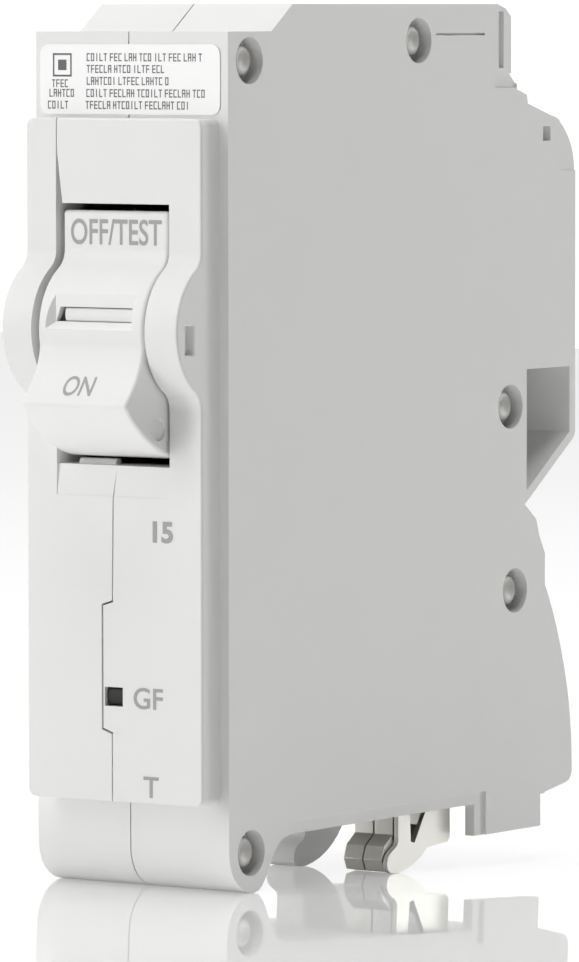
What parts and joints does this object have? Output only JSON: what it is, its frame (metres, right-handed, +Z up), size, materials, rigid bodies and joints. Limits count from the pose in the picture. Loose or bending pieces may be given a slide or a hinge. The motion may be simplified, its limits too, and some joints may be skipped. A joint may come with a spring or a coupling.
{
  "type": "ground fault circuit breaker",
  "caption": "Slim plug-on circuit breaker in a two-half white case, with a rocker handle, a fault flag window and metal plug-on clips underneath.",
  "frame": {"origin": "middle of the box in X and Y, at the lowest point of the plug-on clip and hook", "axes": "+Z up the front face as the breaker stands, -Y out of the front (handle side), +X to the right when facing the front"},
  "size_m": [0.0252, 0.0792, 0.0957],
  "materials": {
    "housing_plastic": "fine-textured white thermoset, satin",
    "handle_plastic": "smooth white, satin",
    "label_paper": "white coated label with grey print bars",
    "rivet_steel": "zinc-plated, dull",
    "mechanism_steel": "zinc-plated",
    "tin_plate": "tin-plated copper, satin",
    "copper": "bare copper",
    "contact_silver": "silver alloy",
    "bimetal_strip": "rolled",
    "fibre_board": "vulcanised fibre",
    "black_plastic": "moulded, matt",
    "board_green": "solder mask",
    "winding_enamel": "enamelled wire winding",
    "ferrite": "wound and taped core",
    "pale_lens": "translucent white",
    "blue_epoxy": "dipped epoxy"
  },
  "bodies": {
    "root": {"right_housing": "housing_plastic", "left_housing": "housing_plastic", "top_front_rivet": "rivet_steel", "top_middle_rivet": "rivet_steel", "rear_upper_rivet": "rivet_steel", "rear_lower_rivet": "rivet_steel", "bottom_front_rivet": "rivet_steel", "rating_label": "label_paper", "clip_side_plate": "tin_plate", "clip_near_finger": "tin_plate", "clip_far_finger": "tin_plate", "line_jaw": "copper", "line_jaw_spring": "mechanism_steel", "line_strap": "copper", "fixed_contact": "contact_silver", "contact_arm_pin": "mechanism_steel", "cradle_pin": "mechanism_steel", "toggle_spring": "mechanism_steel", "arc_chute_left_board": "fibre_board", "arc_chute_right_board": "fibre_board", "arc_plate_1": "mechanism_steel", "arc_plate_2": "mechanism_steel", "arc_plate_3": "mechanism_steel", "arc_plate_4": "mechanism_steel", "armature_pin": "mechanism_steel", "armature_spring": "mechanism_steel", "magnet_yoke": "mechanism_steel", "bimetal": "bimetal_strip", "calibration_screw": "mechanism_steel", "braid": "copper", "load_strap": "copper", "clip_bridge": "copper", "barrier": "fibre_board", "circuit_board": "board_green", "sensing_chip": "black_plastic", "capacitor": "black_plastic", "varistor": "blue_epoxy", "thyristor": "black_plastic", "resistor": "fibre_board", "diode": "black_plastic", "sensing_ring": "ferrite", "grounded_neutral_ring": "ferrite", "solenoid_frame": "mechanism_steel", "solenoid_coil": "winding_enamel", "plunger_spring": "mechanism_steel", "trip_lever_pin": "mechanism_steel", "fault_flag_pin": "mechanism_steel", "test_spring": "mechanism_steel"},
    "rocker": {"handle": "handle_plastic", "status_bar": "pale_lens"},
    "arm": {"contact_arm": "copper", "moving_contact": "contact_silver"},
    "cradle": {"cradle": "mechanism_steel"},
    "armature": {"armature": "mechanism_steel"},
    "plunger": {"solenoid_plunger": "mechanism_steel"},
    "trip_lever": {"trip_lever": "black_plastic"},
    "flag": {"fault_flag": "black_plastic"}
  },
  "joints": [
    {"name": "handle_tilt", "type": "hinge", "parent": "root", "child": "rocker", "pos_m": [0, -0.02863, 0.06115], "axis": [-1, 0, 0], "range_deg": [0, 34]},
    {"name": "contact_arm_swing", "type": "hinge", "parent": "root", "child": "arm", "pos_m": [0, -0.01763, 0.05805], "axis": [-1, 0, 0], "range_deg": [0, 14], "deforming": ["toggle_spring"]},
    {"name": "armature_tilt", "type": "hinge", "parent": "root", "child": "armature", "pos_m": [0, -0.00963, 0.02605], "axis": [-1, 0, 0], "range_deg": [0, 8], "stiffness_Nm_per_rad": 0.01, "deforming": ["armature_spring"]},
    {"name": "cradle_swing", "type": "hinge", "parent": "root", "child": "cradle", "pos_m": [0, -0.01513, 0.07505], "axis": [1, 0, 0], "range_deg": [0, 12]},
    {"name": "fault_flag_tilt", "type": "hinge", "parent": "root", "child": "flag", "pos_m": [0, -0.02013, 0.03005], "axis": [1, 0, 0], "range_deg": [0, 10]},
    {"name": "plunger_slide", "type": "slide", "parent": "root", "child": "plunger", "axis": [0, -1, 0], "range_m": [0, 0.003], "stiffness_N_per_m": 40, "deforming": ["plunger_spring"]},
    {"name": "trip_lever_tilt", "type": "hinge", "parent": "root", "child": "trip_lever", "pos_m": [0, -0.01163, 0.08805], "axis": [-1, 0, 0], "range_deg": [0, 9]}
  ],
  "couplings": [
    {"joint": "contact_arm_swing", "follows": "handle_tilt", "ratio": 0.41176},
    {"joint": "cradle_swing", "follows": "armature_tilt", "ratio": 1.5},
    {"joint": "fault_flag_tilt", "follows": "armature_tilt", "ratio": 1.25},
    {"joint": "trip_lever_tilt", "follows": "plunger_slide", "rad_per_m": 52.36}
  ]
}
